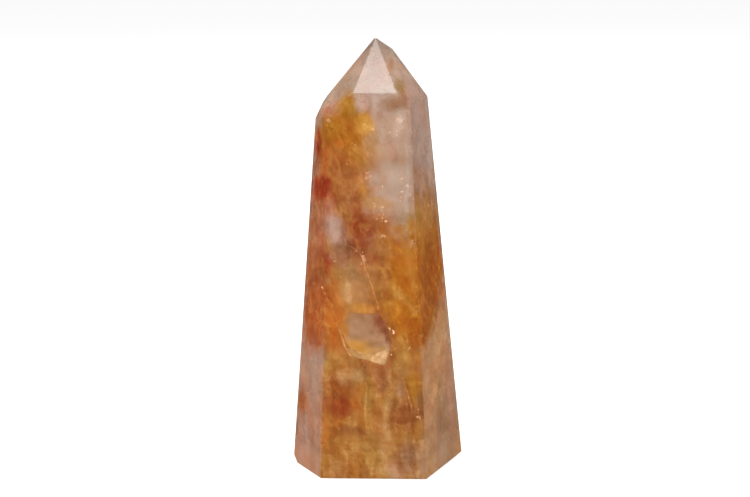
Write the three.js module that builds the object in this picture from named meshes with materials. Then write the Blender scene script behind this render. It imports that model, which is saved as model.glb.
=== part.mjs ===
// A cut and polished quartz point: one solid stone with six tapering sides under an off-centre faceted tip.
// Millimetres, +Z up. The origin is the middle of the foot, and the widest side faces -Y.
import * as THREE from 'three';
import { ConvexGeometry } from 'three/addons/geometries/ConvexGeometry.js';

// Driving dimensions.
const PEAK = new THREE.Vector3(-0.75, 0.1, 103.2); // the sharp point, before the edges are eased
const EDGE_RADIUS = 0.4; // how far every edge and corner is eased by the polishing
const ROUNDING_STEPS = 3; // flat strips that follow each eased edge
const CLOSE = 1e-6; // planes and points nearer than this count as touching

// Each facet is a plane. Its facing is the way its outward normal points in plan, in degrees from the
// front (-Y) towards +X, and its lean is how far that normal tips above the horizontal.
// A side's reach is the distance from the axis to its foot line.
const SIDES = [
  { facing: 0, lean: 3.7, reach: 15.7 },
  { facing: 64.6, lean: 4.2, reach: 17.45 },
  { facing: 120.5, lean: 6.5, reach: 19.55 },
  { facing: 180, lean: 3.8, reach: 15.7 },
  { facing: -113.4, lean: 4.1, reach: 17.6 },
  { facing: -57.7, lean: 3.2, reach: 19.8 },
];

// The left corner of the foot is worn back by a small facet that looks down and out.
const WORN_FOOT_CORNER = { facing: -94.6, lean: -35.1, reach: 19.2 };

// A tip facet's rise is how far above the point its plane crosses the upright line through the point:
// 0 where it runs through the point, more where it only trims a shoulder.
const TIP = [
  { facing: 0, lean: 39.2, rise: 0 },
  { facing: 36.5, lean: 42.2, rise: 0 },
  { facing: 62.9, lean: 35.7, rise: 2.2 },
  { facing: 106.7, lean: 35, rise: 2.6 },
  { facing: 151.6, lean: 35.9, rise: 0 },
  { facing: -164.6, lean: 40, rise: 0 },
  { facing: -111.7, lean: 35.2, rise: 0.2 },
  { facing: -80.3, lean: 31.4, rise: 5.4 },
  { facing: -56, lean: 38.5, rise: 0 },
];

function normalOf({ facing, lean }) {
  const turn = THREE.MathUtils.degToRad(facing);
  const tilt = THREE.MathUtils.degToRad(lean);
  return new THREE.Vector3(
    Math.sin(turn) * Math.cos(tilt),
    -Math.cos(turn) * Math.cos(tilt),
    Math.sin(tilt),
  );
}

// Every facet as { normal, distance }: the stone is where normal . point <= distance.
function facetPlanes() {
  const foot = { normal: new THREE.Vector3(0, 0, -1), distance: 0 };
  const sides = [...SIDES, WORN_FOOT_CORNER].map((side) => ({
    normal: normalOf(side),
    distance: side.reach * Math.cos(THREE.MathUtils.degToRad(side.lean)),
  }));
  const tip = TIP.map((facet) => {
    const normal = normalOf(facet);
    const crossing = new THREE.Vector3(PEAK.x, PEAK.y, PEAK.z + facet.rise);
    return { normal, distance: normal.dot(crossing) };
  });
  return [foot, ...sides, ...tip];
}

// The point where three planes meet, or null where two of them run almost side by side.
function meet(a, b, c) {
  const bc = new THREE.Vector3().crossVectors(b.normal, c.normal);
  const ca = new THREE.Vector3().crossVectors(c.normal, a.normal);
  const ab = new THREE.Vector3().crossVectors(a.normal, b.normal);
  const spread = a.normal.dot(bc);
  if (Math.abs(spread) < CLOSE) return null;
  return bc.multiplyScalar(a.distance)
    .addScaledVector(ca, b.distance)
    .addScaledVector(ab, c.distance)
    .divideScalar(spread);
}

// The corners of the solid that the planes bound, each with the three planes that meet there.
function cornersOf(planes) {
  const corners = [];
  for (let i = 0; i < planes.length; i += 1) {
    for (let j = i + 1; j < planes.length; j += 1) {
      for (let k = j + 1; k < planes.length; k += 1) {
        const trio = [planes[i], planes[j], planes[k]];
        const point = meet(...trio);
        const onStone = point && planes.every((p) => p.normal.dot(point) <= p.distance + CLOSE);
        if (onStone) corners.push({ point, trio });
      }
    }
  }
  return corners;
}

// Directions spread evenly between three normals, from each one to the other two.
function directionsBetween([a, b, c], steps) {
  const directions = [];
  for (let i = 0; i <= steps; i += 1) {
    for (let j = 0; j <= steps - i; j += 1) {
      const mixed = new THREE.Vector3()
        .addScaledVector(a.normal, i)
        .addScaledVector(b.normal, j)
        .addScaledVector(c.normal, steps - i - j);
      directions.push(mixed.normalize());
    }
  }
  return directions;
}

// Eases every edge: the planes are drawn in by the radius, and a small ball at each corner then reaches
// back out to its three facets. The hull of those balls keeps every facet flat and in its place.
function easedSolid(planes, radius, steps) {
  const inner = planes.map(({ normal, distance }) => ({ normal, distance: distance - radius }));
  const points = cornersOf(inner).flatMap(({ point, trio }) => (
    directionsBetween(trio, steps).map((way) => point.clone().addScaledVector(way, radius))
  ));
  return new ConvexGeometry(points);
}

function quartzObelisk() {
  const geometry = easedSolid(facetPlanes(), EDGE_RADIUS, ROUNDING_STEPS);
  geometry.computeBoundingBox();
  const { min, max } = geometry.boundingBox;
  geometry.translate(-(min.x + max.x) / 2, -(min.y + max.y) / 2, -min.z);
  const smokyGoldenQuartz = new THREE.MeshStandardMaterial({
    color: 0xa0703c,
    roughness: 0.12,
    metalness: 0,
  });
  const mesh = new THREE.Mesh(geometry, smokyGoldenQuartz);
  mesh.name = 'quartz_obelisk';
  return mesh;
}

const stone = new THREE.Group();
stone.add(quartzObelisk());

export default stone;
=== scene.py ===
import math

import bmesh
import bpy
import numpy as np
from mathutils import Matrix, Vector


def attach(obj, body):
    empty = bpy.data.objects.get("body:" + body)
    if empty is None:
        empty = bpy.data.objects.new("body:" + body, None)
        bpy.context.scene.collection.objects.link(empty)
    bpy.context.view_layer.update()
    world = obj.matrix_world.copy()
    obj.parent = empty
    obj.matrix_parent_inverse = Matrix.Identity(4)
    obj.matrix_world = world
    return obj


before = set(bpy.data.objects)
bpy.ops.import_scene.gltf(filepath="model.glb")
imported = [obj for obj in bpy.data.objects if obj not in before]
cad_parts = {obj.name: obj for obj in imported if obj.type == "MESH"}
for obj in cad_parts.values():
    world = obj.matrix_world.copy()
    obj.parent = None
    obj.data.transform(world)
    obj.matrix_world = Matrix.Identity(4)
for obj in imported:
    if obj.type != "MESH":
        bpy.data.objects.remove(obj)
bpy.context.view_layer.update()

# A cut and polished obelisk of clear quartz with clouds of limonite in it. It stands on Z = 0 and its front
# facet looks towards -Y. Blender's lengths are metres, and what lies in the stone is placed in millimetres.
MM = 0.001
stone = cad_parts["quartz_obelisk"]


# ------ shader maths

class Value:
    """A number socket of a node tree. Python's operators on it add Math nodes."""

    def __init__(self, tree, socket):
        self.tree = tree
        self.socket = socket

    def _math(self, operation, *numbers):
        return self.tree.node("Math", {"operation": operation}, *numbers).value()

    def __add__(self, other):
        return self._math("ADD", self, other)

    def __sub__(self, other):
        return self._math("SUBTRACT", self, other)

    def __rsub__(self, other):
        return self._math("SUBTRACT", other, self)

    def __mul__(self, other):
        return self._math("MULTIPLY", self, other)

    def __truediv__(self, other):
        return self._math("DIVIDE", self, other)

    __radd__ = __add__
    __rmul__ = __mul__

    def least(self, other):
        """The smaller of the two."""
        return self._math("MINIMUM", self, other)

    def most(self, other):
        """The larger of the two."""
        return self._math("MAXIMUM", self, other)

    def size(self):
        """The number without its sign."""
        return self._math("ABSOLUTE", self)

    def step(self, low, high):
        """0 below low, 1 above high and a smooth rise between; high may be the smaller one."""
        return self.tree.node(
            "MapRange", {"interpolation_type": "SMOOTHSTEP"}, self, low, high, 0.0, 1.0
        ).value()


class Result:
    """A node that has been added, which gives its outputs by name."""

    def __init__(self, tree, node):
        self.tree = tree
        self.node = node

    def out(self, name=0):
        """An output as it is, for a colour, a vector or a shader."""
        return self.node.outputs[name]

    def value(self, name=0):
        """An output that is a number."""
        return Value(self.tree, self.node.outputs[name])


class Tree:
    """A node tree to which nodes are added by type, settings and inputs."""

    def __init__(self, tree):
        self.nodes = tree.nodes
        self.links = tree.links
        self.nodes.clear()

    def node(self, kind, settings=None, *inputs, **named):
        """Adds a node: its settings are set first, then its inputs, in order or by name."""
        added = self.nodes.new("ShaderNode" + kind)
        for name, setting in (settings or {}).items():
            setattr(added, name, setting)
        for key, given in [*enumerate(inputs), *named.items()]:
            if isinstance(key, str):
                key = key.replace("_", " ")
            self.feed(added.inputs[key], given)
        return Result(self, added)

    def feed(self, socket, given):
        """Links a socket to what is given, or sets it to a plain value. None leaves it as it is."""
        if given is None:
            return
        if isinstance(given, Value):
            given = given.socket
        if isinstance(given, Result):
            given = given.out()
        if isinstance(given, bpy.types.NodeSocket):
            self.links.new(given, socket)
            return
        if hasattr(given, "__len__") and len(given) == 3 and len(socket.default_value) == 4:
            given = (*given, 1.0)
        socket.default_value = given

    def mix(self, share, first, second, blend="MIX"):
        """The first colour where the share is 0, and the second where it is 1."""
        settings = {"data_type": "RGBA", "blend_type": blend}
        return self.node("Mix", settings, share, *[None] * 5, first, second).out(2)

    def tinted(self, colour, tint):
        """The colour times the tint."""
        return self.mix(1.0, colour, tint, "MULTIPLY")

    def blended(self, share, first, second):
        """The first shader where the share is 0, and the second where it is 1."""
        return self.node("MixShader", None, share, first, second)

    def vector(self, operation, *inputs, **named):
        """A vector worked out by one Vector Math node."""
        return self.node("VectorMath", {"operation": operation}, *inputs, **named).out()

    def place(self):
        """The point of the stone being shaded, in millimetres."""
        return self.vector("SCALE", self.node("TexCoord").out("Object"), Scale=1 / MM)

    def along_axis(self, point, axis):
        """The X, Y or Z of a point."""
        return self.node("SeparateXYZ", None, point).value(axis)

    def stretched(self, point, sizes, turn=(0, 0, 0), centre=(0, 0, 0)):
        """The point in a frame round a centre, turned by degrees, in units of three sizes in millimetres."""
        turn = tuple(map(math.radians, turn))
        return self.node("Mapping", {"vector_type": "TEXTURE"}, point, centre, turn, sizes).out()

    def noise(self, point, size, detail=2.0, roughness=0.5):
        """Noise whose features are about the size given, from 0 to 1 about a mean of a half."""
        return self.node("TexNoise", None, point, Scale=1 / size, Detail=detail, Roughness=roughness)

    def warped(self, point, amount, size):
        """The point moved by up to about the amount, in a random way that changes over the size."""
        push = self.vector("SUBTRACT", self.noise(point, size).out("Color"), (0.5, 0.5, 0.5))
        return self.vector("ADD", point, self.vector("SCALE", push, Scale=2 * amount))


def new_material(name):
    """A material, and its node tree with nothing in it yet."""
    material = bpy.data.materials.new(name)
    material.use_nodes = True
    return material, Tree(material.node_tree)


def linear(red, green, blue):
    """A colour in linear light, from the 0 to 255 values that a screen is given."""
    share = np.array([red, green, blue]) / 255
    return tuple(np.where(share <= 0.04045, share / 12.92, ((share + 0.055) / 1.055) ** 2.4))


# ------ camera, lights and floor

CAMERA_TARGET = np.array([-0.77, -4.73, 53.73]) * MM
CAMERA_DISTANCE = 330 * MM
CAMERA_AZIMUTH = 1.4
CAMERA_ELEVATION = 12.0
LENS = 66.7
SENSOR_WIDTH = 36
NEAREST, FARTHEST = 0.01, 100
FLOOR_RADIUS = 12
FLOOR_GAP = 0.1 * MM
WHITE = (1, 1, 1)
WARM_WHITE = (1.0, 0.97, 0.94)
FLOOR_WHITE = (0.97, 0.97, 0.97)
FLOOR_IN_GLOSS = (0.06, 0.057, 0.055)
FLOOR_IN_GLASS = (1.0, 0.93, 0.86)
STUDIO_LIGHT, STUDIO_IN_GLOSS, STUDIO_IN_GLASS = 0.86, 0.06, 0.9
FLOOR_LIFT, FLOOR_GLOW = 0.12, 0.6

# name, azimuth and elevation in degrees, distance, width and height in metres, power in watts
LIGHTS = [
    ("key_light", -25, 62, 0.9, 0.7, 0.5, 5),
    ("fill_light", 40, 25, 1.2, 0.6, 0.8, 3),
    ("back_light", 205, 62, 1.0, 0.7, 0.5, 4),
]


def towards(azimuth, elevation):
    """The unit direction at an azimuth from the front (-Y) towards +X, and an elevation, in degrees."""
    a, e = math.radians(azimuth), math.radians(elevation)
    return np.array([math.sin(a) * math.cos(e), -math.cos(a) * math.cos(e), math.sin(e)])


def aimed(thing, place, target):
    """Puts a camera or light at a place, turned so that it looks at the target."""
    thing.location = place
    thing.rotation_euler = Vector(target - place).to_track_quat("-Z", "Y").to_euler()
    bpy.context.scene.collection.objects.link(thing)


def camera():
    """The camera in front of the stone, looking a little down on it."""
    data = bpy.data.cameras.new("camera")
    data.lens = LENS
    data.sensor_width = SENSOR_WIDTH
    data.clip_start = NEAREST
    data.clip_end = FARTHEST
    eye = bpy.data.objects.new("camera", data)
    aimed(eye, CAMERA_TARGET + CAMERA_DISTANCE * towards(CAMERA_AZIMUTH, CAMERA_ELEVATION), CAMERA_TARGET)
    bpy.context.scene.camera = eye


def softbox(name, azimuth, elevation, distance, width, height, power):
    """A white rectangular light that is aimed at the middle of the stone."""
    data = bpy.data.lights.new(name, "AREA")
    data.shape = "RECTANGLE"
    data.size = width
    data.size_y = height
    data.energy = power
    place = CAMERA_TARGET + distance * towards(azimuth, elevation)
    aimed(bpy.data.objects.new(name, data), place, CAMERA_TARGET)


def surroundings():
    """A white studio all round. It is dim in gloss, and a little warm through the stone."""
    world = bpy.data.worlds.new("studio")
    bpy.context.scene.world = world
    world.use_nodes = True
    t = Tree(world.node_tree)
    path = t.node("LightPath")
    seen = t.node("Background", None, WHITE, 1.0)
    lighting = t.node("Background", None, WHITE, STUDIO_LIGHT)
    in_gloss = t.node("Background", None, WARM_WHITE, STUDIO_IN_GLOSS)
    in_glass = t.node("Background", None, WARM_WHITE, STUDIO_IN_GLASS)
    dim = t.blended(path.value("Is Glossy Ray"), lighting, in_gloss)
    dim = t.blended(path.value("Is Transmission Ray"), dim, in_glass)
    both = t.blended(path.value("Is Camera Ray"), dim, seen)
    t.node("OutputWorld", None, both)


def floor():
    """A matt white floor just below the foot. It is dim in gloss and glows warmly through the stone."""
    bpy.ops.mesh.primitive_circle_add(
        vertices=96, radius=FLOOR_RADIUS, fill_type="NGON", location=(0, 0, -FLOOR_GAP)
    )
    disc = bpy.context.object
    disc.name = "floor"
    material, t = new_material("white_floor")
    path = t.node("LightPath")
    matt = t.node("BsdfDiffuse", None, FLOOR_WHITE)
    lifted = t.node("AddShader", None, matt, t.node("Emission", None, WHITE, FLOOR_LIFT))
    white = t.blended(path.value("Is Camera Ray"), matt, lifted)
    in_gloss = t.node("BsdfDiffuse", None, FLOOR_IN_GLOSS)
    in_glass = t.node("Emission", None, FLOOR_IN_GLASS, FLOOR_GLOW)
    shown = t.blended(path.value("Is Glossy Ray"), white, in_gloss)
    shown = t.blended(path.value("Is Transmission Ray"), shown, in_glass)
    t.node("OutputMaterial", None, shown)
    disc.data.materials.append(material)


# ------ the stone's facets

# where each side facet looks, in degrees from the front, and about how far they all lean back
FRONT, RIGHT, BACK_RIGHT, BACK, BACK_LEFT, LEFT = 0, 64.6, 120.5, 180, -113.4, -57.7
SIDE_LEAN = 4
# triangles lie in one facet if the cosine between their normals and the gap between their planes say so
SAME_WAY = 0.99999
SAME_PLANE = 0.05 * MM
LEAST_FACET_AREA = 3 * MM * MM
UPRIGHT = np.array([0.0, 0.0, 1.0])


def facet_planes(node):
    """The flat facets of a convex solid, as outward normals and distances from the origin.

    Triangles belong to one facet where their normals and their planes' distances agree. Each group's area
    is summed, and the groups that are too small to be a facet are the eased edges."""
    mesh = node.data
    count = len(mesh.polygons)
    normals, centres, areas = np.empty(3 * count), np.empty(3 * count), np.empty(count)
    mesh.polygons.foreach_get("normal", normals)
    mesh.polygons.foreach_get("center", centres)
    mesh.polygons.foreach_get("area", areas)
    normals, centres = normals.reshape(-1, 3), centres.reshape(-1, 3)
    distances = np.einsum("ij,ij->i", normals, centres)
    alike = (normals @ normals.T > SAME_WAY) & (abs(distances[:, None] - distances) < SAME_PLANE)
    facet_area = alike @ areas
    first = np.argmax(alike, axis=1) == np.arange(count)
    chosen = first & (facet_area > LEAST_FACET_AREA)
    return normals[chosen], distances[chosen]


NORMALS, DISTANCES = facet_planes(stone)


def facet(azimuth):
    """The normal and distance of the side facet that looks most nearly that way."""
    nearest = np.argmax(NORMALS @ towards(azimuth, SIDE_LEAN))
    return NORMALS[nearest], DISTANCES[nearest]


def on_facet(facing, across, height, depth):
    """Points in millimetres, from numbers or arrays: across and height on a side facet, and depth below it.

    A point goes out along the facet's level direction until it meets its plane, moved in by the depth."""
    normal, distance = facet(facing)
    level = np.array([math.cos(math.radians(facing)), math.sin(math.radians(facing)), 0])
    outward = towards(facing, 0)
    reach = (distance / MM - depth - normal[2] * height) / (normal @ outward)
    across, reach, height = (np.asarray(number, float)[..., None] for number in (across, reach, height))
    return across * level + reach * outward + height * UPRIGHT


# ------ colours of the clouds in the stone

MAUVE = linear(173, 149, 133)
ROSE = linear(170, 138, 118)
LILAC = linear(178, 154, 146)
MILK = linear(189, 170, 157)
TAN = linear(156, 116, 84)
SAND = linear(175, 132, 84)
HONEY = linear(198, 148, 72)
STRAW = linear(186, 134, 58)
BRASS = linear(160, 107, 46)
GOLD = linear(157, 98, 20)
ORANGE = linear(172, 94, 26)
AMBER = linear(150, 74, 1)
OLIVE = linear(158, 116, 50)
MOSS = linear(152, 104, 26)
BROWN = linear(146, 92, 50)
UMBER = linear(112, 66, 30)
RUST = linear(144, 48, 12)
BRICK = linear(146, 74, 28)
COPPER = linear(153, 92, 46)

# tints that a colour is multiplied by
WARM_TINT = (1.04, 0.93, 0.88)
COOL_TINT = (0.98, 1.06, 1.06)
DARK_LINE_TINT = (0.55, 0.42, 0.34)
# the tint of a painted shade in the lowest few millimetres, near the floor
LOW_SHADE_TINT = (0.9, 0.87, 0.86)

# heights in millimetres from which the foot's bands, and the floor's haze and painted shade, start and where
# they are whole
FOOT_BANDS = (34, 24)
FLOOR_HAZE_AND_SHADE = (8, 2.4)

# how mottles, grains and the painted glints slant, as turns in degrees
MOTTLE_SLANT = (0, -18, 0)
GRAIN_SLANT = (0, -20, 0)
GLINT_SLANT = (0, 28, 0)
DARK_LINES_APART = (31, 7, 19)
LINE_CORE = 0.25

# how wide a facet's border is at the surface, and how it widens with depth, in millimetres
EDGE_BLUR = 0.15
BLUR_BY_DEPTH = 0.5


class Patch:
    """A cloud of one colour: an egg, placed by where it lies under a side facet and how deep below it.

    Its half sizes, wide, tall and deep, reach to where it has half its strength. It fades over the soft
    share of its radius, and noise frays its edge. A positive lean takes its top towards the right."""

    FRAYED_INSET = 0.22

    def __init__(self, facing, across, height, wide, tall, colour, strength, soft, deep=5, depth=1,
                 lean=0, frayed=0.8):
        self.inset = self.FRAYED_INSET * frayed
        grown = 1 / (1 - self.inset - soft / 2)
        self.centre = tuple(on_facet(facing, across, height, depth))
        self.turn = (0, lean, facing)
        self.half = (wide * grown, deep * grown, tall * grown)
        self.colour = colour
        self.strength = strength
        self.soft = soft
        self.frayed = frayed

    def share(self, t, point, fray):
        """How much of the patch shows at a point: a ball's fall-off in the egg's frame, frayed by noise."""
        within = t.stretched(point, self.half, self.turn, self.centre)
        heart = t.node("TexGradient", {"gradient_type": "SPHERICAL"}, within).value(1)
        return (heart + fray * self.frayed).step(self.inset, self.inset + self.soft) * self.strength


def shallow(facing, *egg, **more):
    """A patch whose middle lies on its facet."""
    return Patch(facing, *egg, depth=0, **more)


# Each row gives facing, across, height, wide, tall, colour, strength, soft and deep. The first list shows
# from every side, and each of the next three under one side facet alone.
THROUGHOUT = [
    # the back of the stone
    shallow(BACK, 0, 20, 16, 24, BRASS, 0.95, 0.4, 9),
    Patch(BACK, -4, 52, 9, 17, GOLD, 0.95, 0.4, 7, lean=14),
    Patch(BACK, 6.5, 60, 5, 11, COPPER, 0.85, 0.6),
    Patch(BACK, 7, 45, 2.4, 5, RUST, 0.85, 0.6, lean=-15),
    Patch(BACK, -7, 74, 4, 6, ORANGE, 0.8, 0.7),
    Patch(BACK, 2.5, 77, 4, 6, STRAW, 0.55, 0.8),
    Patch(BACK, 1.5, 36, 2.4, 8, MILK, 0.5, 0.8, lean=22),
    Patch(BACK, -8, 15, 3, 7, BRICK, 0.85, 0.6),
    Patch(BACK, 6, 9, 4, 6, TAN, 0.7, 0.7),
    shallow(BACK_LEFT, 1, 56, 8, 20, BRASS, 0.95, 0.5, 6),
    Patch(BACK_LEFT, 1, 77, 5, 6, GOLD, 0.85, 0.6),
    Patch(BACK_LEFT, -3, 66, 2.6, 5, RUST, 0.85, 0.6),
    Patch(BACK_LEFT, 1.5, 45, 4, 8, AMBER, 0.85, 0.6),
    Patch(BACK_LEFT, 2, 22, 4, 9, COPPER, 0.8, 0.7),
    shallow(BACK_RIGHT, 0, 48, 9, 22, GOLD, 0.95, 0.5, 6),
    Patch(BACK_RIGHT, 3, 60, 3, 7, AMBER, 0.85, 0.6),
    Patch(BACK_RIGHT, -2, 22, 5, 11, COPPER, 0.7, 0.7),
    Patch(BACK, 2, 92, 3, 4.5, BRASS, 0.6, 0.8, depth=4),
    Patch(BACK_LEFT, 0, 93, 3, 4, SAND, 0.6, 0.8, depth=3),
    # the peak
    Patch(FRONT, -0.8, 92, 6, 5, linear(158, 140, 130), 0.9, 0.5, 7, depth=3),
    Patch(FRONT, -0.8, 100.5, 4, 5, linear(138, 119, 108), 0.9, 0.7, 7, depth=9),
    Patch(FRONT, -7.9, 92, 3.6, 5, linear(146, 122, 102), 0.85, 0.7, 5, depth=5),
    Patch(FRONT, 5.2, 92.5, 1.3, 2.8, linear(132, 100, 48), 0.95, 0.6, 4, depth=2.2, lean=-20),
    Patch(FRONT, 2.7, 97.2, 0.6, 1.2, linear(148, 110, 66), 0.8, 0.8, 3, depth=5.3),
    Patch(FRONT, 6.3, 89.6, 1.8, 1.7, linear(140, 100, 70), 0.85, 0.7, 3, depth=0.5),
]
UNDER_FRONT = [
    # the broad zones
    shallow(FRONT, -1, 15, 19, 50, BRASS, 1.0, 0.2, 8, frayed=0.5),
    shallow(FRONT, -10, 72, 10, 20, BRASS, 0.95, 0.3, 7, lean=6),
    # the golden cloud in the shoulder
    Patch(FRONT, -7.7, 81.5, 5.4, 7.6, GOLD, 0.97, 0.3, 7, lean=12),
    Patch(FRONT, -6.2, 87.8, 2.3, 2.3, MOSS, 0.85, 0.6, 5),
    Patch(FRONT, -9.9, 87.2, 1.2, 1.2, linear(166, 128, 98), 0.7, 0.8, 3),
    Patch(FRONT, -4, 88.6, 1.1, 1.7, LILAC, 0.75, 0.7, 4),
    Patch(FRONT, -0.8, 88, 0.7, 2.2, MILK, 0.6, 0.8, 4),
    Patch(FRONT, 4.4, 88.6, 3.4, 1.5, linear(144, 102, 72), 0.9, 0.7, 4),
    Patch(FRONT, -2.8, 83.7, 1.9, 2.7, STRAW, 0.85, 0.7, 4),
    Patch(FRONT, -3.2, 83, 0.8, 1.2, HONEY, 0.55, 0.8, 3),
    Patch(FRONT, -4.5, 76.3, 2, 2.6, GOLD, 0.8, 0.6),
    Patch(FRONT, -1.3, 78, 2.2, 3, SAND, 0.6, 0.8),
    Patch(FRONT, -9.8, 75, 3.4, 4.2, COPPER, 0.75, 0.6),
    Patch(FRONT, -8.8, 79.5, 1.8, 1.2, ORANGE, 0.7, 0.7, 3),
    shallow(FRONT, -11.6, 69, 1.7, 2.3, RUST, 0.95, 0.5, 5),
    # milky haze at the right of the shoulder, and a painted highlight along the edge to the right facet
    Patch(FRONT, 3.4, 69, 5.4, 6, MILK, 0.35, 0.9, depth=2),
    Patch(FRONT, 4.7, 84, 0.9, 3.6, MILK, 0.55, 0.8, 3, lean=12),
    # a thin pale band near the edge to the right facet: a painted highlight
    Patch(FRONT, 7.2, 75, 0.6, 13, MILK, 0.6, 0.8, 3, frayed=0.4),
    Patch(FRONT, 4.8, 76.4, 4, 1.5, TAN, 0.5, 0.8, 4),
    Patch(FRONT, -0.5, 72, 1.4, 1.6, MILK, 0.5, 0.8, 3),
    # below the shoulder
    Patch(FRONT, -6.8, 69.2, 4.2, 5, COPPER, 0.8, 0.5),
    Patch(FRONT, -9.4, 68.4, 0.6, 2.6, OLIVE, 0.6, 0.8, 3, lean=-12),
    Patch(FRONT, -3.1, 68.2, 0.9, 2.8, STRAW, 0.7, 0.8, 3, lean=-18),
    Patch(FRONT, 0, 65.4, 3.4, 1.6, SAND, 0.7, 0.5, 4),
    Patch(FRONT, -1.4, 61, 4, 3.2, COPPER, 0.8, 0.4),
    Patch(FRONT, 3.6, 60, 3, 3.6, BRASS, 0.6, 0.8),
    Patch(FRONT, -6.9, 64.4, 3.6, 4, linear(146, 84, 44), 0.9, 0.7, 4),
    Patch(FRONT, -10.9, 64.6, 1.6, 2.6, linear(148, 72, 34), 0.8, 0.8, 4, lean=-20),
    Patch(FRONT, -9.9, 59.5, 1.8, 4.2, linear(190, 162, 154), 0.95, 0.8, 3, lean=-24, frayed=1.1),
    Patch(FRONT, -4.2, 57.6, 2.8, 4.6, linear(134, 50, 16), 0.95, 0.7, 5, lean=-12, frayed=1.1),
    Patch(FRONT, -7.5, 58, 0.8, 2.4, linear(146, 92, 68), 0.8, 0.8, 3, lean=-14),
    Patch(FRONT, -6.8, 53.2, 3.4, 3.4, linear(132, 70, 36), 0.95, 0.8, 3, frayed=1.0),
    Patch(FRONT, -8, 55.4, 2.6, 1.3, UMBER, 0.75, 0.7, 3, frayed=0.6),
    Patch(FRONT, -0.9, 53.3, 1.2, 1.6, linear(134, 64, 28), 0.85, 0.7, 3),
    Patch(FRONT, -11.9, 51.2, 1.3, 3, RUST, 0.9, 0.6, 3),
    Patch(FRONT, 8, 60, 1.6, 4.2, OLIVE, 0.8, 0.7, 4),
    # the middle
    Patch(FRONT, 6.8, 46, 6, 13.5, linear(165, 99, 16), 0.97, 0.4, 6, lean=3),
    Patch(FRONT, 1.4, 49, 1.8, 5, linear(146, 82, 36), 0.85, 0.8, 4, lean=-12),
    Patch(FRONT, 4.8, 44.9, 0.8, 2.4, STRAW, 0.75, 0.7, 3, lean=-30),
    Patch(FRONT, 6.9, 54.5, 0.8, 3.2, STRAW, 0.45, 0.8, 3, lean=-14),
    Patch(FRONT, 8.8, 48, 0.7, 4.5, STRAW, 0.3, 0.8, 3, lean=-6),
    Patch(FRONT, 9.4, 37, 1.8, 5.4, AMBER, 0.85, 0.6, lean=6),
    Patch(FRONT, -5, 46.6, 3.4, 5, SAND, 0.85, 0.6, 3, lean=-8),
    Patch(FRONT, -7, 45.2, 0.6, 3, linear(204, 160, 108), 0.8, 0.7, 3, lean=-8),
    Patch(FRONT, -3.2, 41.3, 3.7, 1.2, STRAW, 0.95, 0.5, 3, frayed=0.5),
    Patch(FRONT, -10.9, 39, 2.9, 8, ORANGE, 0.9, 0.5, lean=-4),
    Patch(FRONT, -11.5, 43.5, 1.3, 3, BRICK, 0.6, 0.7, 3),
    Patch(FRONT, 5.2, 30, 2.4, 3.4, BRASS, 0.7, 0.8),
    Patch(FRONT, 0, 26, 6, 1.4, linear(144, 88, 44), 0.7, 0.8, 3, frayed=1.1),
    # the foot
    Patch(FRONT, -12.9, 16, 1.8, 9, linear(172, 104, 18), 0.95, 0.5, 3, frayed=0.5),
    Patch(FRONT, -12.4, 11.2, 1.5, 3.4, linear(184, 106, 16), 0.9, 0.6, 3),
    Patch(FRONT, -8.7, 19.8, 3.6, 5.4, linear(145, 76, 26), 0.92, 0.4),
    Patch(FRONT, -8.8, 17, 2.8, 2.4, linear(136, 52, 14), 0.8, 0.7),
    Patch(FRONT, -9.8, 12.6, 2.6, 2, linear(152, 84, 20), 0.8, 0.7, 3),
    Patch(FRONT, -6.3, 24.6, 2.9, 1.8, SAND, 0.75, 0.6, 4),
    Patch(FRONT, -4.6, 19.5, 1.6, 3.6, ORANGE, 0.6, 0.7, 4),
    Patch(FRONT, -1.6, 20.5, 0.6, 4, OLIVE, 0.6, 0.7, 4, frayed=0.5),
    Patch(FRONT, -2.7, 17.6, 0.26, 5, HONEY, 0.8, 0.7, 3, frayed=0.3),
    Patch(FRONT, 0.8, 24, 1.8, 3.2, BROWN, 0.9, 0.5, 4, frayed=1.1),
    Patch(FRONT, 2.9, 19.4, 0.7, 5.4, linear(170, 122, 68), 0.6, 0.7, 3, frayed=0.5),
    Patch(FRONT, 4.7, 16, 1.7, 4.6, linear(140, 82, 36), 0.9, 0.5, 4, frayed=1.1),
    Patch(FRONT, 7, 15, 1.7, 4, linear(138, 82, 38), 0.9, 0.5, 4, frayed=1.1),
    Patch(FRONT, 5.6, 21.5, 1.6, 2.2, TAN, 0.6, 0.6, 4),
    Patch(FRONT, 8.5, 22.6, 1.9, 3.2, GOLD, 0.85, 0.5, 4),
    Patch(FRONT, 10.3, 18.2, 1, 3.2, UMBER, 0.75, 0.5, 4),
    Patch(FRONT, -5.8, 11.8, 4.4, 0.9, linear(140, 82, 38), 0.75, 0.7, 3),
    Patch(FRONT, 1.8, 6.6, 1.5, 7.4, linear(192, 146, 94), 0.85, 0.8, 4),
    Patch(FRONT, 4.4, 2, 1.4, 2.4, linear(178, 142, 112), 0.8, 0.8, 4),
    Patch(FRONT, 7.6, 5, 2.5, 4.4, linear(142, 98, 66), 0.9, 0.6, 4),
    Patch(FRONT, 11.3, 4.5, 1.3, 4.5, linear(154, 122, 100), 0.8, 0.8, 3),
    Patch(FRONT, -9.6, 2, 2.6, 2.2, BROWN, 0.6, 0.7, 4),
    Patch(FRONT, -2.4, 1.6, 2.4, 1.6, BROWN, 0.45, 0.8, 4),
]
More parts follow.
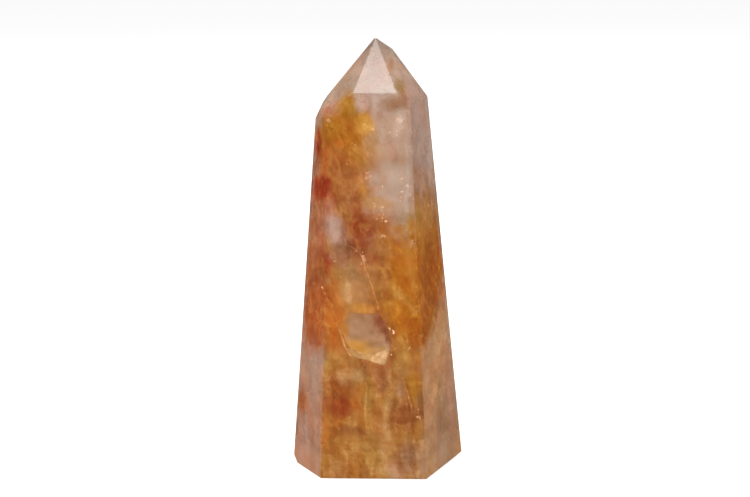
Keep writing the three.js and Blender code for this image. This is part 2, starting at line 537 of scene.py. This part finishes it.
UNDER_LEFT = [
    shallow(LEFT, 0, 2, 16, 27, linear(172, 125, 98), 1.0, 0.3, 6, frayed=0.5),
    shallow(LEFT, 0, 61, 12, 30, linear(162, 86, 36), 0.97, 0.3, 7, frayed=0.5),
    shallow(LEFT, 4, 60.4, 2, 3.8, linear(178, 132, 110), 0.8, 0.9, 5, lean=-15),
    shallow(LEFT, -1, 60, 3, 7, linear(164, 108, 76), 0.6, 0.8, 4),
    shallow(LEFT, -2.6, 73.8, 2.4, 2.6, linear(150, 98, 72), 0.8, 0.6, 4),
    shallow(LEFT, 1.4, 75, 1.6, 6, ORANGE, 0.7, 0.6, 4),
    shallow(LEFT, 1, 82.5, 3.2, 4.2, GOLD, 0.95, 0.5, 4),
    shallow(LEFT, -2.6, 85, 2.4, 2.4, ROSE, 0.7, 0.7, 4),
    shallow(LEFT, -2.2, 79.4, 2, 2.8, RUST, 0.85, 0.5, 4),
    shallow(LEFT, 0, 68.8, 4.6, 2.9, RUST, 1.0, 0.45, 5),
    shallow(LEFT, 2.6, 51, 2.2, 3.4, BRICK, 0.85, 0.6, 4),
    shallow(LEFT, 0, 37.5, 5.5, 7.5, linear(166, 82, 28), 0.9, 0.5, 4),
    shallow(LEFT, -4.6, 16.2, 2.8, 2.6, linear(158, 90, 40), 0.95, 0.6, 5),
    shallow(LEFT, 1, 22, 1.6, 7, MAUVE, 0.5, 0.8, 3),
    shallow(LEFT, -3, 9, 2, 5, LILAC, 0.35, 0.9, 3),
]
UNDER_RIGHT = [
    shallow(RIGHT, 1, 20, 18, 50, linear(176, 132, 92), 1.0, 0.15, 6, frayed=0.3),
    shallow(RIGHT, 4, 8, 6, 13, linear(154, 114, 82), 0.8, 0.7, 4),
    shallow(RIGHT, 7, 16, 2, 12, linear(172, 128, 104), 0.7, 0.8, 4),
    shallow(RIGHT, -10, 64, 19, 34.3, linear(160, 96, 14), 0.97, 0.1, 8, frayed=0.2),
    shallow(RIGHT, 4, 52, 4, 8, AMBER, 0.85, 0.9, 5, lean=12, frayed=1.4),
    shallow(RIGHT, -1, 44, 5, 6, AMBER, 0.8, 0.9, 5, lean=40, frayed=1.4),
    shallow(RIGHT, -5.6, 36, 2.4, 5, AMBER, 0.8, 0.7, 4),
    shallow(RIGHT, -6, 41, 2, 4, ORANGE, 0.7, 0.8, 4),
    shallow(RIGHT, 0, 66, 9, 5.5, linear(160, 114, 66), 0.92, 0.8, 5),
    shallow(RIGHT, 1, 84, 12, 16, linear(168, 141, 128), 0.95, 0.45, 6),
    shallow(RIGHT, -4.5, 61, 3, 3, STRAW, 0.6, 0.8, 4),
    shallow(RIGHT, 2.5, 30, 3, 8, linear(190, 142, 98), 0.75, 0.8, 4, lean=20),
    shallow(RIGHT, -1.6, 21.5, 1.5, 5, linear(190, 140, 92), 0.75, 0.8, 3, lean=15),
    shallow(RIGHT, -7.8, 24, 0.9, 7, SAND, 0.7, 0.6, 3, frayed=0.4),
    shallow(RIGHT, 0, 5, 3, 4, ROSE, 0.5, 0.9, 3),
]

# where the front's foot is combed most, and where the skin of haze is clearer
COMBED = Patch(FRONT, 5.5, 15.6, 3.2, 5, None, 1.0, 0.5, 4)
WINDOWS = [
    shallow(FRONT, -2.2, 34, 6.8, 7.4, None, 1.0, 0.35, 3, frayed=0.3),
    shallow(FRONT, -3.4, 46, 3.4, 6.6, None, 0.85, 0.6, 3, lean=-12),
    shallow(FRONT, -9.8, 59, 2.3, 5, None, 0.4, 0.8, 3, lean=-26),
    shallow(FRONT, 4, 72, 5, 14, None, 0.4, 0.8, 3),
    shallow(FRONT, 7.2, 20.4, 1.1, 5.2, None, 0.7, 0.8, 3, lean=-17),
    shallow(BACK, -1, 50, 4.5, 10, None, 0.8, 0.6, 3, lean=15),
    shallow(BACK_LEFT, 1, 32, 3.5, 9, None, 0.6, 0.8, 3, lean=-15),
    shallow(BACK_RIGHT, 0, 66, 4, 8, None, 0.6, 0.8, 3),
]


def laid(t, colour, patches, point, fray):
    """The colour with each patch laid over it in turn."""
    for patch in patches:
        colour = t.mix(patch.share(t, point, fray), colour, patch.colour)
    return colour


def below(t, point, facing):
    """How deep a point lies below the plane of a side facet, in millimetres."""
    normal, distance = facet(facing)
    out = t.node("VectorMath", {"operation": "DOT_PRODUCT"}, point, tuple(normal)).value("Value")
    return float(distance / MM) - out


def nearer(t, point, first, second):
    """1 where the first side facet is the nearer of two, and 0 where the second is.

    The border is crisp at the surface and gets softer with depth."""
    to_first, to_second = below(t, point, first), below(t, point, second)
    soft = to_first.least(to_second).most(0) * BLUR_BY_DEPTH + EDGE_BLUR
    return (to_first - to_second).step(soft, 0 - soft)


def patched_colour(t, point, drifted, fray):
    """Mauve quartz with patches laid over it, others for each side facet that is the nearest.

    What is seen in the stone changes at an edge."""
    base = t.mix(t.noise(point, 9.0, 3.0).value().step(0.3, 0.7), MAUVE, ROSE)
    base = laid(t, base, THROUGHOUT, drifted, fray)
    colour = laid(t, base, UNDER_FRONT, drifted, fray)
    colour = t.mix(nearer(t, point, LEFT, FRONT), colour, laid(t, base, UNDER_LEFT, drifted, fray))
    return t.mix(nearer(t, point, RIGHT, FRONT), colour, laid(t, base, UNDER_RIGHT, drifted, fray))


def thickness(t, fine, drifted, fray, foot, rich):
    """How much thicker than usual the clouds are, by mottles and grains, and in the foot by rows and bands.

    They are stronger where the colour is rich."""
    mottle = t.noise(t.stretched(fine, (1, 1, 1.5), MOTTLE_SLANT), 2.8, 5.0, 0.68).value() - 0.5
    grain = t.noise(t.stretched(fine, (1, 1, 2.6), GRAIN_SLANT), 0.9, 3.0, 0.6).value() - 0.5
    combed = t.noise(t.stretched(fine, (5, 3, 0.7)), 1.2, 2.0, 0.6).value() - 0.5
    banded = t.noise(t.stretched(drifted, (0.9, 3, 14)), 1.8, 2.0, 0.6).value() - 0.5
    thick = (mottle * 1.25 + grain * 0.55) * rich
    thick = thick + foot * (combed * 0.45 + banded * 0.5) * rich + banded * 0.12
    return thick + COMBED.share(t, drifted, fray) * combed * 0.4


def thin_lines(t, point, size, width):
    """Lines that wander through space: where smooth noise passes through its middle value."""
    return (t.noise(point, size, 1.5, 0.4).value() - 0.5).size().step(width, LINE_CORE * width)


def lines_and_glints(t, colour, point, fine, gilded, foot, rich):
    """The colour with pale lines, dark lines and painted glints: pale flecks in the middles of a few Voronoi
    cells.

    Slow noise keeps each of them to some places."""
    bright = t.mix(gilded, MILK, HONEY)
    slanted = t.stretched(fine, (1, 1, 3.2), GRAIN_SLANT)
    light = thin_lines(t, slanted, 2.6, 0.05) * t.noise(point, 5.0, 2.0).value().step(0.45, 0.62)
    colour = t.mix(light * (gilded * 0.2 + 0.1) * (1 - foot * 0.75), colour, bright)
    dark = thin_lines(t, t.vector("ADD", slanted, DARK_LINES_APART), 3.4, 0.045)
    dark = dark * t.noise(point, 4.0, 2.0).value().step(0.5, 0.64)
    colour = t.mix(dark * rich * 0.25, colour, t.tinted(colour, DARK_LINE_TINT))
    # pale flecks in the middles of a few cells: painted glints
    cells = t.node("TexVoronoi", None, t.stretched(fine, (1, 1, 1.9), GLINT_SLANT), Scale=1.1)
    picked = t.node("SeparateColor", None, cells.out("Color")).value("Red").step(0.8, 0.84)
    here = t.noise(point, 7.0, 2.0).value().step(0.46, 0.6)
    painted_glints = cells.value("Distance").step(0.3, 0.12) * picked * here * (1 - foot * 0.6)
    return t.mix(painted_glints * 0.5, colour, bright)


def near_floor(t, point):
    """0 over the stone and 1 in its lowest few millimetres."""
    return t.along_axis(point, "Z").step(*FLOOR_HAZE_AND_SHADE)


def cloud_colour(t, point):
    """The colour of the stone's clouds at a point.

    The patches' colour is tinted warm and cool in turns. A thicker cloud is darker and deeper in colour, as
    if light passed more of it: the colour to the power of the thickness. Lines and pale flecks come last,
    and the flecks are painted glints. The lowest few millimetres are darker: a painted shade near the floor.
    Gilded is 1 where the colour has little blue."""
    drifted = t.warped(t.warped(point, 1.2, 9.0), 0.6, 3.0)
    fine = t.warped(drifted, 0.4, 1.2)
    fray = t.noise(t.stretched(fine, (1, 1, 1.4)), 3.0, 5.0, 0.64).value() - 0.5
    colour = patched_colour(t, point, drifted, fray)
    parts = t.node("SeparateColor", None, colour)
    gilded = (parts.value("Blue") / parts.value("Red")).step(0.35, 0.1)
    rich = gilded * 0.75 + 0.25
    foot = t.along_axis(point, "Z").step(*FOOT_BANDS)
    tint = t.noise(t.stretched(fine, (1, 1, 1.8), MOTTLE_SLANT), 4.2, 4.0, 0.6).value().step(0.32, 0.68)
    colour = t.tinted(colour, t.mix(tint, WARM_TINT, COOL_TINT))
    thick = thickness(t, fine, drifted, fray, foot, rich)
    colour = t.node("Gamma", None, colour, thick + 1.0).out()
    colour = lines_and_glints(t, colour, point, fine, gilded, foot, rich)
    # darker in the lowest few millimetres: a painted shade near the floor
    return t.mix(near_floor(t, point), colour, t.tinted(colour, LOW_SHADE_TINT))


def shared_colour():
    """A node group that holds the colour of the clouds at a point, for every material that shows them."""
    group = bpy.data.node_groups.new("cloud_colour", "ShaderNodeTree")
    group.interface.new_socket("Point", in_out="INPUT", socket_type="NodeSocketVector")
    group.interface.new_socket("Color", in_out="OUTPUT", socket_type="NodeSocketColor")
    t = Tree(group)
    point = t.nodes.new("NodeGroupInput").outputs[0]
    t.feed(t.nodes.new("NodeGroupOutput").inputs[0], cloud_colour(t, point))
    return group


CLOUDS = shared_colour()


QUARTZ_IOR = 1.544
GLASS_ROUGHNESS = 0.03
GLASS_TINT = (1.0, 0.99, 0.98)
GLASS_CLEARNESS = 0.75
SKIN_ROUGHNESS = 0.12
SHADOW_TINT = (0.98, 0.96, 0.94)
ABSORPTION_TINT = (0.88, 0.74, 0.5)
ABSORPTION_DENSITY = 12.0
CLOUD_ROUGHNESS = 0.6
CLOUD_LIFT = (1.85, 1.85, 1.8)
CLOUD_GLOW = (0.74, 0.42, 0.18)
GLOW_SHARE = 0.2
MOST_COVER = 0.95
SAME_POINT = 1e-5
WIDE_FACETS_FIRST = 100


def cloud(name, cover, size, least):
    """A crumpled, half-clear cloud sheet: matt, lit from either side, in the colour of the clouds there.

    Noise of the size given clears it in places, but it is never less dense than least. The lift makes up
    for the light that the stone takes. A shadow needs only how much light passes, so it reads no colour."""
    material, t = new_material(name)
    point = t.place()
    colour = t.tinted(t.node("Group", {"node_tree": CLOUDS}, point), CLOUD_LIFT)
    drift = t.stretched(t.warped(point, 1.5, 6.0), (1, 1, 1.7))
    dense = t.noise(drift, size, 4.0, 0.6).value().step(0.62 - 0.5 * cover, 0.78 - 0.5 * cover)
    matt = t.node("BsdfPrincipled", None, Base_Color=colour, Roughness=CLOUD_ROUGHNESS)
    glow = t.node("BsdfTranslucent", None, CLOUD_GLOW)
    body = t.blended(GLOW_SHARE, matt, glow)
    clear = t.node("BsdfTransparent", None, WHITE)
    share = dense * (MOST_COVER - least) + least
    seen = t.blended(share, clear, body)
    shade = t.blended(share, clear, t.node("BsdfDiffuse"))
    in_shadow = t.node("LightPath").value("Is Shadow Ray")
    t.node("OutputMaterial", None, t.blended(in_shadow, seen, shade))
    return material


def quartz():
    """The stone's own material: polished glass under a skin of thin milky haze, with clearer windows.

    The haze is the share of the skin. Noise makes it uneven, it is whole near the floor, and each window
    takes its share away. Light reaches what is inside as through clear glass."""
    material, t = new_material("limonite_quartz")
    point = t.place()
    colour = t.node("Group", {"node_tree": CLOUDS}, point).out()
    drifted = t.warped(point, 1.5, 6.0)
    haze = t.noise(drifted, 3.5, 4.0).value().step(0.3, 0.7) * 0.3 + 0.45
    haze = haze + (1 - haze) * near_floor(t, point)
    fray = t.noise(drifted, 3.4, 3.0).value() - 0.5
    for window in WINDOWS:
        haze = haze * (1 - window.share(t, drifted, fray))
    pale = t.mix(GLASS_CLEARNESS, colour, GLASS_TINT)
    glass = t.node(
        "BsdfPrincipled", None,
        Base_Color=pale, Roughness=GLASS_ROUGHNESS, IOR=QUARTZ_IOR, Transmission_Weight=1.0,
    )
    skin = t.node("BsdfPrincipled", None, Base_Color=colour, Roughness=SKIN_ROUGHNESS, IOR=QUARTZ_IOR)
    seen = t.blended(haze, glass, skin)
    clear = t.node("BsdfTransparent", None, SHADOW_TINT)
    in_shadow = t.node("LightPath").value("Is Shadow Ray")
    out = t.node("OutputMaterial")
    t.feed(out.node.inputs["Surface"], t.blended(in_shadow, seen, clear))
    t.feed(out.node.inputs["Volume"], t.node("VolumeAbsorption", None, ABSORPTION_TINT, ABSORPTION_DENSITY))
    stone.data.materials.clear()
    stone.data.materials.append(material)


def flat_shading():
    """Shades the stone smoothly, with normals weighted by area, so that wide facets stay flat."""
    stone.data.polygons.foreach_set("use_smooth", np.ones(len(stone.data.polygons), bool))
    weld = stone.modifiers.new("weld", "WELD")
    weld.merge_threshold = SAME_POINT
    even = stone.modifiers.new("flat_facets", "WEIGHTED_NORMAL")
    even.keep_sharp = False
    even.weight = WIDE_FACETS_FIRST


# ------ surfaces inside the stone

LEVEL_SLOPE = 1e-6
TINY_GAP = 1e-6
WAVES = 9
WAVES_GAIN = 1.8
WAVE_RATES = (0.6, 1.7)


def chord(starts, way, margin):
    """Where lines from starts along way enter and leave the stone, drawn in by a margin all round.

    A line enters at the last of the facets that face against it and leaves at the first of those that
    face along it. It leaves before it enters where it misses the stone."""
    slope = NORMALS @ way
    room = (DISTANCES - margin)[:, None] - NORMALS @ starts.T
    against, along = slope < -LEVEL_SLOPE, slope > LEVEL_SLOPE
    level = ~(against | along)
    enter = (room[against] / slope[against, None]).max(axis=0)
    leave = (room[along] / slope[along, None]).min(axis=0)
    return enter, np.where((room[level] < 0).any(axis=0), enter - 1, leave)


def ripples(points, size, seed):
    """A smooth uneven height about 0: the mean of sine waves of about one size in seeded directions."""
    chance = np.random.default_rng(seed)
    ways = chance.normal(size=(WAVES, 3))
    ways /= np.linalg.norm(ways, axis=1, keepdims=True)
    pitch = chance.uniform(*WAVE_RATES, WAVES) * 2 * math.pi / size
    turn = chance.uniform(0, 2 * math.pi, WAVES)
    return np.sin(points @ (ways * pitch[:, None]).T + turn).mean(axis=-1) * WAVES_GAIN


def wobbled(path, amount, size, seed):
    """A path of flat points with each coordinate moved by ripples of its own."""
    spots = np.c_[path, path[:, :1]]
    return path + amount * np.stack([ripples(spots, size, seed), ripples(spots, size, seed + 1)], axis=1)


def grid_faces(rows, columns):
    """The quads of a grid of rows by columns points."""
    corner = np.arange((rows - 1) * columns).reshape(rows - 1, columns)[:, :-1].ravel()
    return np.stack([corner, corner + 1, corner + columns + 1, corner + columns], axis=1)


def surface(name, points, material):
    """A piece from a grid of points, rows by columns by xyz. Its rim attribute rises from 0 to 1 by row."""
    rows, columns = points.shape[:2]
    mesh = bpy.data.meshes.new(name)
    mesh.from_pydata(points.reshape(-1, 3).tolist(), [], grid_faces(rows, columns).tolist())
    rim = mesh.attributes.new("rim", "FLOAT", "POINT")
    rim.data.foreach_set("value", np.repeat(np.linspace(0, 1, rows), columns))
    weld = bmesh.new()
    weld.from_mesh(mesh)
    bmesh.ops.remove_doubles(weld, verts=weld.verts, dist=TINY_GAP)
    weld.to_mesh(mesh)
    weld.free()
    return added(name, mesh, material, True)


def added(name, mesh, material, smooth):
    """A piece of the stone with this mesh, at the origin."""
    mesh.polygons.foreach_set("use_smooth", np.full(len(mesh.polygons), smooth))
    mesh.materials.append(material)
    piece = bpy.data.objects.new(name, mesh)
    bpy.context.scene.collection.objects.link(piece)
    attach(piece, "root")
    return piece


def pressed_inside(points, margin):
    """The points, with any that lie outside the stone drawn in by a margin moved back onto it."""
    for normal, distance in zip(NORMALS, DISTANCES):
        over = np.maximum(points @ normal - (distance - margin), 0)
        points = points - over[..., None] * normal
    return points


SHELL_ROWS = 150
SHELL_COLUMNS = 140
STEM_END = 1e-4
MOST_DRAW = 0.8


def shell(name, depth, material, crumple, wave, seed):
    """A closed crumpled sheet at one depth below all the facets.

    A stem runs up the middle of the stone. From each level of the stem, rays in all directions around it
    end on the facets moved in by the depth. The first rows fill the flat foot, from its middle to its rim,
    and the last row shrinks to a point under the peak. Ripples then draw each point in towards the stem,
    by up to the crumple."""
    bottom, top = (end[0] for end in chord(np.zeros((1, 3)), UPRIGHT, depth))
    foot_rows = SHELL_ROWS // 10
    side_rows = SHELL_ROWS - foot_rows
    level = np.concatenate([np.zeros(foot_rows), np.linspace(0, 1, side_rows)])
    spread = np.concatenate([np.linspace(0, 1, foot_rows, endpoint=False), np.ones(side_rows - 1), [0]])
    stem = (bottom + (top - bottom) * np.clip(level, STEM_END, 1 - STEM_END))[:, None] * UPRIGHT
    points = np.empty((SHELL_ROWS, SHELL_COLUMNS, 3))
    for column, angle in enumerate(np.linspace(0, 2 * math.pi, SHELL_COLUMNS)):
        way = np.array([math.sin(angle), -math.cos(angle), 0])
        reach = chord(stem, way, depth)[1] * spread
        points[:, column] = stem + reach[:, None] * way
    draw = crumple * (1 + ripples(points, wave, seed)) / 2
    inward = stem[:, None, :] - points
    length = np.maximum(np.linalg.norm(inward, axis=-1, keepdims=True), TINY_GAP)
    points = points + inward / length * np.minimum(draw[..., None], MOST_DRAW * length)
    points[:, -1] = points[:, 0]
    return surface(name, points, material)


CRACK_ROUGHNESS = 0.5
CRACK_MARGIN = 0.3 * MM


def veil(name, dark, light, size, cover, fade=0.0, slope=0.0, zones=(), lift=1.0):
    """A thin healed crack: matt, mottled from a dark to a light colour, and clear in places.

    Its rim attribute is 0 in its middle and 1 at its outline. It clears over the share of that which fade
    gives, along a ragged front. The slope makes it lighter for each millimetre towards the right, and the
    lift makes up for light lost in the stone. It casts no shadow on the clouds behind it."""
    material, t = new_material(name)
    point = t.place()
    mottled = t.noise(t.warped(point, 0.6, 1.5), size, 4.0, 0.65).value()
    if slope:
        mottled = mottled + t.along_axis(point, "X") * slope
    there = t.noise(point, 1.7 * size, 4.0, 0.7).value().step(0.66 - 0.4 * cover, 0.78 - 0.4 * cover)
    ragged = t.noise(point, 1.6, 4.0, 0.65).value() - 0.5
    if fade:
        rim = t.node("Attribute", {"attribute_name": "rim"}).value("Fac")
        there = there * (rim + ragged * fade * 1.2).step(1.0, 1 - fade)
    colour = laid(t, t.mix(mottled.step(0.3, 0.7), dark, light), zones, point, ragged)
    if lift != 1:
        colour = t.tinted(colour, (lift, lift, lift))
    sheet = t.node("BsdfPrincipled", None, Base_Color=colour, Roughness=CRACK_ROUGHNESS, Alpha=there)
    path = t.node("LightPath")
    clear = t.node("BsdfTransparent", None, WHITE)
    sheet = t.blended(path.value("Is Shadow Ray"), sheet, clear)
    t.node("OutputMaterial", None, t.blended(path.value("Is Diffuse Ray"), sheet, clear))
    return material


def walked(corners, step):
    """Points about a step apart along straight lines from corner to corner."""
    corners = np.array(corners, float)
    lengths = np.linalg.norm(np.diff(corners, axis=0), axis=1)
    so_far = np.concatenate([[0], np.cumsum(lengths)])
    spots = np.linspace(0, so_far[-1], int(so_far[-1] / step) + 2)
    return np.stack([np.interp(spots, so_far, side) for side in corners.T], axis=1)


def plate(name, outline, material, depth, tip, swing, crumple, seed, rows=16):
    """A flat crack with a ragged outline under the front facet, in millimetres across and up.

    Rings shrink from the outline to its middle. The depth grows by tip for each millimetre up and by swing
    for each millimetre across, and ripples crumple it."""
    ring = wobbled(walked([*outline, outline[0]], step=0.4), amount=0.12, size=1.1, seed=seed)
    ring[-1] = ring[0]
    middle = ring[:-1].mean(axis=0)
    share = np.linspace(0, 1, rows)[:, None, None]
    flat = middle + share * (ring - middle)
    across, height = flat[..., 0], flat[..., 1]
    under = depth + tip * (height - middle[1]) + swing * (across - middle[0])
    under = under + crumple * ripples(np.stack([across, height, under], axis=-1), size=3.0, seed=seed)
    points = pressed_inside(on_facet(FRONT, across, height, under) * MM, CRACK_MARGIN)
    return surface(name, points, material)


def line(name, path, width, material, depth, seed):
    """A narrow crack seen edge-on: a strip along a path under the front facet, tapered at both ends.

    Across the strip runs from one side of the path to the other, and ripples make its width uneven."""
    path = wobbled(walked(path, step=0.25), amount=0.1, size=1.4, seed=seed)
    way = np.gradient(path, axis=0)
    way /= np.linalg.norm(way, axis=1, keepdims=True)
    side = np.stack([-way[:, 1], way[:, 0]], axis=1)
    taper = np.minimum(1, 6 * np.sin(np.linspace(0, math.pi, len(path))))
    half = width / 2 * taper * (1 + 0.5 * ripples(np.c_[path, path[:, :1]], size=0.9, seed=seed + 7))
    lateral = np.array([-1.0, 0.0, 1.0])[:, None, None]
    flat = path + lateral * half[:, None] * side
    return surface(name, on_facet(FRONT, flat[..., 0], flat[..., 1], depth) * MM, material)


FLAKE_DEPTHS = (0.5, 1.4)
SMALLEST_FLAKE = 0.12
FLAKE_GROWTH = 0.5
FLAKE_LAID = 0.65
FLAKE_TILT = 0.4


def flakes(name, facing, clusters, material, seed):
    """Tiny flat flakes with a painted glint, gathered in clusters under a side facet and turned more or less
    to it.

    Each cluster gives a middle across and up, a spread and a number. A flake is four corners round its
    middle, at random distances along two random directions square to each other. Squaring an even chance
    makes most of them small."""
    outward = facet(facing)[0]
    chance = np.random.default_rng(seed)
    spots = np.concatenate([
        np.array([across, height]) + spread * chance.normal(size=(count, 2))
        for across, height, spread, count in clusters
    ])
    centres = on_facet(facing, spots[:, 0], spots[:, 1], chance.uniform(*FLAKE_DEPTHS, len(spots)))
    first = chance.normal(size=centres.shape)
    first -= FLAKE_LAID * (first @ outward)[:, None] * outward
    first /= np.linalg.norm(first, axis=1, keepdims=True)
    second = np.cross(first, chance.normal(size=centres.shape) * FLAKE_TILT - outward)
    second /= np.linalg.norm(second, axis=1, keepdims=True)
    long = SMALLEST_FLAKE + FLAKE_GROWTH * chance.uniform(0, 1, (len(spots), 1)) ** 2
    wide = long * chance.uniform(0.3, 0.8, (len(spots), 1))
    corners = np.stack([
        centres + long * first,
        centres + wide * second,
        centres - long * chance.uniform(0.5, 1, (len(spots), 1)) * first,
        centres - wide * second,
    ], axis=1)
    points = pressed_inside(corners.reshape(-1, 3) * MM, CRACK_MARGIN)
    quads = np.arange(4 * len(spots)).reshape(-1, 4)
    mesh = bpy.data.meshes.new(name)
    mesh.from_pydata(points.tolist(), [], quads.tolist())
    return added(name, mesh, material, False)


# outlines and paths in millimetres across and up the front facet
PLATE_OUTLINE = [
    (-6.9, 40.3), (-3.6, 39.9), (0.4, 40.1), (2.1, 37.8), (3.4, 34.6), (3.7, 31.4), (2.8, 30.0),
    (0.1, 29.1), (-2.7, 29.3), (-5.8, 30.0), (-7.4, 32.0), (-8.8, 34.9), (-9.5, 37.4), (-8.6, 39.0),
]
RIM_OUTLINE = [
    (-6.5, 31.0), (-4.1, 29.9), (-1.3, 30.3), (1.5, 31.0), (3.3, 31.8), (3.3, 30.0),
    (2.0, 27.2), (-0.4, 27.8), (-2.7, 28.6), (-5, 29.0), (-6.7, 29.9), (-7.9, 32.2),
]
HEAD_OUTLINE = [
    (-4.5, 54.8), (-3.9, 54.2), (-3.5, 53.4), (-2.9, 53.3), (-2.3, 52.7), (-2.6, 52.1),
    (-2.5, 51.4), (-3.0, 50.8), (-3.3, 51.5), (-3.6, 52.3), (-3.7, 53.0), (-4.2, 53.8),
]
WISP_PATH = [(-7.9, 57.8), (-7.3, 56.2), (-5.6, 55.2), (-4.3, 54.4)]
UPPER_PATH = [(-4.1, 54), (-3.4, 52.2), (-2.9, 50.3), (-2.0, 48.6)]
LONG_PATH = [(-2.2, 48.9), (-1.6, 46.9), (-0.9, 45.3), (-0.5, 43.4), (0.1, 41.9), (0.1, 40.3)]
LEFT_PATH = [(-13.2, 46.4), (-11.4, 42.8), (-10.3, 40.4), (-8.8, 35.6), (-7.7, 32.6)]
LOW_PATH = [(5.8, 25), (6.5, 22.8), (7.2, 20.7), (8.3, 16.2)]
EDGE_PATH = [(-9.1, 36.6), (-8.3, 34), (-7.3, 31.4), (-6, 29.3)]
WINDOW_PATH = [(-7.1, 47.2), (-6.9, 44.6), (-7.1, 42)]
PLATE_ZONES = [
    Patch(FRONT, -3.4, 36, 3, 2.8, linear(194, 152, 112), 0.7, 0.8, 3, depth=0.9),
    Patch(FRONT, -8.5, 36.2, 1.5, 4.4, linear(212, 148, 58), 0.95, 0.6, 3, depth=0.9, lean=-8),
    Patch(FRONT, -5, 31.4, 4, 1.9, linear(226, 170, 72), 0.95, 0.7, 3, depth=0.9, lean=10),
    Patch(FRONT, 1, 31.1, 1.3, 0.8, linear(212, 166, 96), 0.8, 0.7, 3, depth=0.9),
    Patch(FRONT, 0.7, 37.8, 1.6, 2.6, linear(158, 78, 24), 0.95, 0.7, 3, depth=0.9, lean=-25),
    Patch(FRONT, 2.4, 34.6, 0.7, 4, linear(148, 80, 28), 0.9, 0.8, 3, depth=0.9, lean=-20),
]

# clusters of flakes: the middle across and up, the spread and the number
FRONT_FLAKES = [
    (-2.6, 83.4, 1.0, 12), (-1.0, 82.9, 0.15, 3), (4.8, 85.4, 0.5, 8), (4, 82, 0.7, 5), (-8, 77, 2.5, 8),
    (-5.4, 79.2, 0.4, 5), (-2.1, 72.5, 0.3, 4), (0, 70, 3.5, 10), (5.6, 67.6, 0.9, 9), (0.4, 64.4, 0.6, 10),
    (0.8, 62, 0.5, 9), (1.2, 57.8, 0.6, 8), (-2.6, 72, 0.8, 4), (-9.8, 52.2, 0.2, 3), (3.5, 35.5, 0.45, 9),
    (7.2, 33, 0.4, 3), (10.1, 15.4, 0.35, 6), (9.8, 16.6, 0.3, 4), (6, 48, 3.5, 6), (7.8, 56.5, 0.3, 4),
    (0, 18, 5, 5), (-9, 24, 3, 4), (-11.4, 84.6, 0.2, 3), (5, 31, 1.6, 6), (-3, 54, 1.5, 6),
]
BACK_FLAKES = [(-4, 60, 2, 14), (3, 72, 1, 8), (5, 42, 2, 10), (-5, 30, 2.5, 10), (2, 15, 3, 8)]
BACK_LEFT_FLAKES = [(0, 66, 1.2, 10), (2, 50, 1, 8), (-2, 34, 2, 8)]
RIGHT_FLAKES = [(1, 60, 1.5, 8), (2, 48, 2, 8), (-2, 30, 2, 5)]


def plates():
    """The plate in the middle of the stone with its bright rim, and the small cream head of the cracks."""
    face = veil(
        "plate_face", linear(178, 132, 92), linear(204, 164, 126), 2.6, 1.2,
        fade=0.14, zones=PLATE_ZONES,
    )
    plate("plate", PLATE_OUTLINE, face, 0.9, tip=0.02, swing=0.02, crumple=0.15, seed=21)
    # the rim's pale colour, lifted and lighter towards the right, is partly its own cream colour and partly
    # a painted reflection off the crack
    rim = veil(
        "plate_rim", linear(208, 166, 106), linear(240, 208, 162), 1.0, 1.25,
        fade=0.3, slope=0.05, lift=1.22,
    )
    plate("plate_rim", RIM_OUTLINE, rim, 0.6, tip=-0.06, swing=0.0, crumple=0.15, seed=22)
    cream = veil("crack_head", linear(206, 156, 108), linear(255, 240, 208), 0.45, 0.85, fade=0.6, lift=1.5)
    plate("crack_head", HEAD_OUTLINE, cream, 0.6, tip=0.1, swing=0.1, crumple=0.2, seed=23, rows=6)


def cracks():
    """The thin cracks above, beside and below the plate."""
    pink = veil("crack_wisp", linear(190, 140, 120), linear(232, 186, 166), 0.8, 0.8, lift=1.2)
    bright = veil("crack_edge", linear(196, 108, 32), linear(244, 186, 112), 0.8, 0.9, lift=1.2)
    pale = veil("plate_edge", linear(210, 140, 72), linear(244, 190, 132), 1.0, 0.95, lift=1.15)
    faint = veil("crack_window", linear(192, 142, 92), linear(228, 178, 128), 1.2, 0.85, lift=1.1)
    line("crack_wisp", WISP_PATH, 0.2, pink, 0.6, 37)
    line("crack_upper", UPPER_PATH, 0.28, bright, 0.7, 36)
    line("crack_long", LONG_PATH, 0.28, bright, 0.7, 31)
    line("crack_left", LEFT_PATH, 0.26, bright, 0.7, 32)
    line("crack_low", LOW_PATH, 0.28, bright, 0.7, 33)
    line("plate_edge", EDGE_PATH, 0.42, pale, 0.6, 35)
    line("crack_window", WINDOW_PATH, 0.8, faint, 0.8, 34)


def all_flakes():
    """The flakes under four of the side facets. Their matt pale colour, lifted above white, is a painted
    glint.
    """
    # matt flakes in a pale colour lifted above white: a painted glint
    painted_glint = veil("flake", linear(252, 196, 138), linear(255, 232, 204), 1.5, 2.0, lift=1.55)
    flakes("flakes", FRONT, FRONT_FLAKES, painted_glint, 11)
    flakes("flakes_back", BACK, BACK_FLAKES, painted_glint, 12)
    flakes("flakes_left", BACK_LEFT, BACK_LEFT_FLAKES, painted_glint, 13)
    flakes("flakes_right", RIGHT, RIGHT_FLAKES, painted_glint, 14)


# ------ the whole scene

# piece, material, cover, size of its clear places and least density, then its depth below the facets, its
# crumple and the size of its waves in millimetres, and its seed
CLOUD_SHEETS = [
    ("cloud_1", "near_cloud", 0.6, 5.0, 0.5, 1.1, 1.2, 8, 3),
    ("cloud_2", "middle_cloud", 0.6, 6.0, 0.5, 3.0, 2.4, 10, 4),
    ("cloud_3", "deep_cloud", 0.8, 7.0, 0.9, 6.0, 3.0, 12, 5),
]
BOUNCES = 16
CLEAR_BOUNCES = 64

camera()
surroundings()
floor()
for light in LIGHTS:
    softbox(*light)
quartz()
flat_shading()
for piece, finish, cover, size, least, depth, crumple, wave, seed in CLOUD_SHEETS:
    shell(piece, depth * MM, cloud(finish, cover, size, least), crumple * MM, wave * MM, seed)
plates()
cracks()
all_flakes()

scene = bpy.context.scene
scene.view_settings.view_transform = "Standard"
scene.cycles.max_bounces = BOUNCES
scene.cycles.transmission_bounces = BOUNCES
scene.cycles.transparent_max_bounces = CLEAR_BOUNCES
